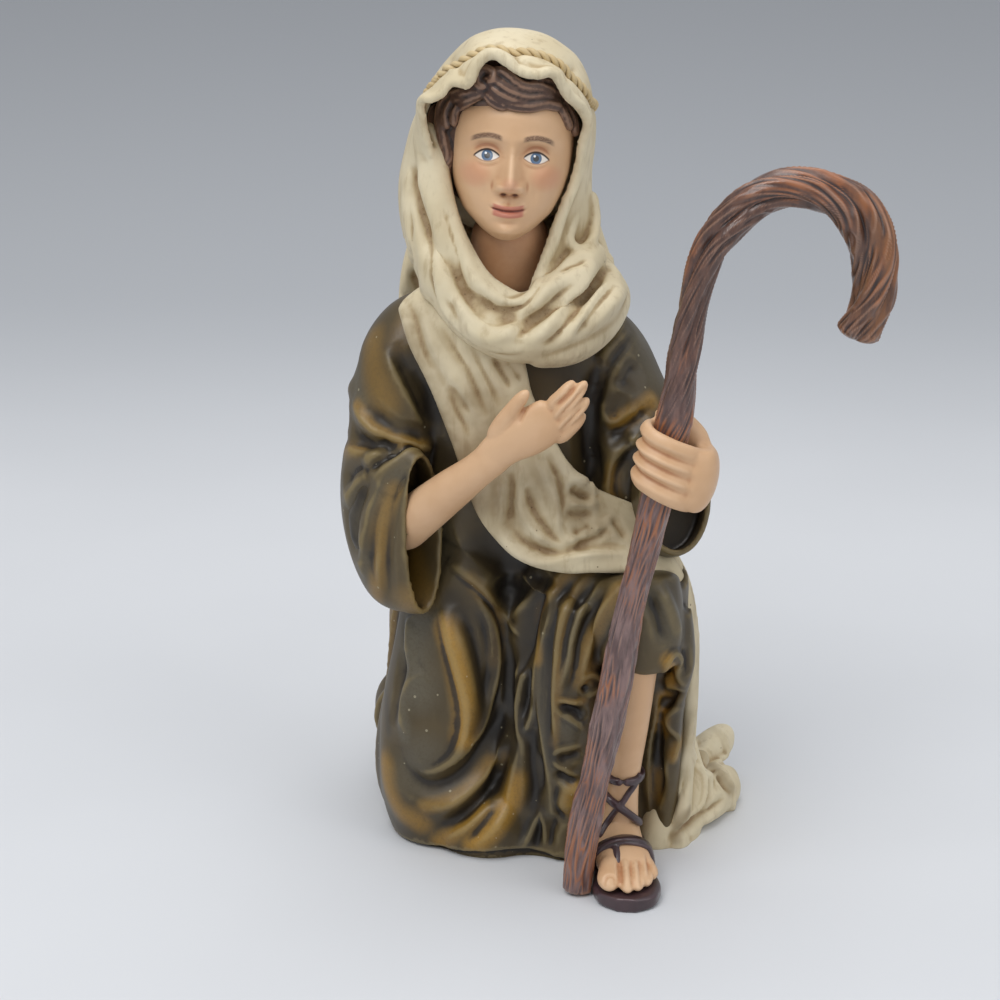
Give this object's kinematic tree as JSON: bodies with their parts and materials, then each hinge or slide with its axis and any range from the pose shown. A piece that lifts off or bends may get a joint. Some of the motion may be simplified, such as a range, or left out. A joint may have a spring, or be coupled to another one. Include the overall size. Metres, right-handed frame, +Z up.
{
  "type": "nativity shepherd figurine",
  "caption": "Kneeling shepherd figurine in a long robe and hooded shawl, one hand to the chest and the other holding a hooked crook.",
  "frame": {"origin": "on the flat underside, below the middle of the kneeling body", "axes": "+Z up, -Y the way the shepherd faces, +X to the viewer's right"},
  "size_m": [0.1264, 0.1079, 0.2002],
  "materials": {
    "painted_resin": "matte hand-painted cast resin",
    "painted_wood_look": "satin painted wood grain"
  },
  "bodies": {
    "root": {"figure": "painted_resin", "crook": "painted_wood_look"}
  },
  "joints": []
}
